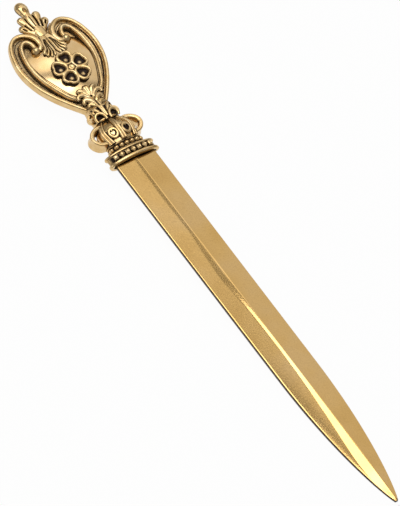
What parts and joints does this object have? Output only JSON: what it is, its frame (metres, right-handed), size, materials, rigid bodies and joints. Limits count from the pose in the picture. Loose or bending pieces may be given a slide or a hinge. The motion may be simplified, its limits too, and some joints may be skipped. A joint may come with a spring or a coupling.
{
  "type": "letter opener",
  "caption": "Ornate antique-gold letter opener: ridged pointed blade, jewelled collar, hooped crown and a heart-shaped handle with scrolls, leaves and a cupped rosette",
  "frame": {"origin": "middle of the opener's length and width, on the level of its lowest point, the crown's back", "axes": "+X to the right across the handle seen from the decorated face with the crest up, +Y from the blade's tip to the crest, +Z out of the decorated face"},
  "size_m": [0.0284, 0.2024, 0.0081],
  "materials": {
    "satin_gilt": "satin gilt brass with a fine pressed grain",
    "antique_gilt": "antiqued gilt brass, dark brown patina left in the hollows",
    "polished_gilt": "smooth gilt brass, softly polished"
  },
  "bodies": {
    "root": {"blade": "satin_gilt", "collar": "antique_gilt", "collar_jewels": "antique_gilt", "gallery_ring": "antique_gilt", "gallery_pearls": "antique_gilt", "crown_body": "antique_gilt", "crown_ribs": "antique_gilt", "crown_hearts": "antique_gilt", "crown_hoop_right": "antique_gilt", "crown_hoop_left": "antique_gilt", "crown_cap": "antique_gilt", "heart_plate": "antique_gilt", "rim_scroll_right": "antique_gilt", "rim_scroll_left": "antique_gilt", "inner_frame_right": "antique_gilt", "inner_frame_left": "antique_gilt", "panel": "polished_gilt", "rosette": "antique_gilt", "rosette_boss": "antique_gilt", "crest": "antique_gilt", "crest_leaf": "antique_gilt", "base_leaf": "antique_gilt", "neck_stem": "antique_gilt", "neck_bows": "antique_gilt", "neck_scroll_right": "antique_gilt", "neck_scroll_left": "antique_gilt", "tang_pin": "satin_gilt"}
  },
  "joints": []
}
